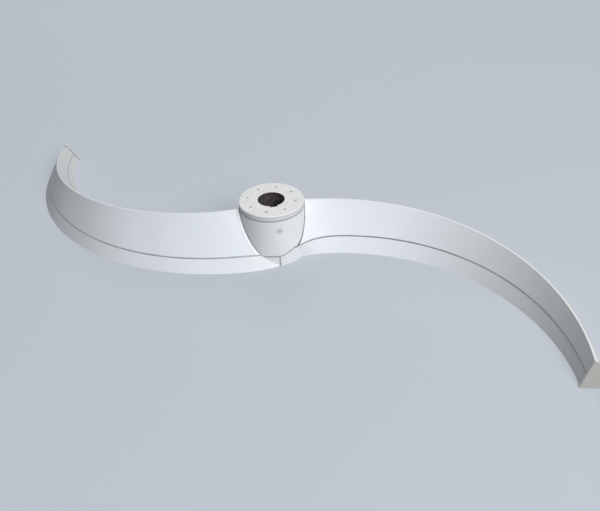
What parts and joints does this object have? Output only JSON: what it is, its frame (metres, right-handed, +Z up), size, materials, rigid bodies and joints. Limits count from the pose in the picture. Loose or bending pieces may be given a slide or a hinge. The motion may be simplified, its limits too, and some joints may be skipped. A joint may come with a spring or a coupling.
{
  "type": "lined agitator impeller",
  "caption": "rigid two-armed S-shaped agitator impeller with a keyed hub, triangular swept-back blades and a white fluoropolymer sheet lining over steel",
  "frame": {"origin": "on the shaft axis, in the plane of the flat underside", "axes": "+Z up along the shaft bore; +Y along the greater plan length; the left arm leaves the hub along -X and sweeps back towards +Y, the right arm is the same turned half a turn"},
  "size_m": [0.8574, 1.1002, 0.112],
  "materials": {
    "steel": "turned and milled stainless steel",
    "screws": "stainless socket-head screws",
    "lining": "white fluoropolymer sheet with a soft waxy sheen",
    "weld": "narrow fluoropolymer weld bead, darker than the sheet"
  },
  "bodies": {
    "root": {"steel_hub": "steel", "left_blade_core": "steel", "right_blade_core": "steel", "cap_screws": "screws", "top_cap": "lining", "hub_sleeve": "lining", "left_lower_lining": "lining", "right_lower_lining": "lining", "left_blade_cover": "lining", "right_blade_cover": "lining", "left_end_plate": "lining", "right_end_plate": "lining", "hub_seam_welds": "weld", "splice_welds": "weld", "left_seam_welds": "weld", "right_seam_welds": "weld", "left_root_weld": "weld", "right_root_weld": "weld", "left_end_weld": "weld", "right_end_weld": "weld"}
  },
  "joints": []
}
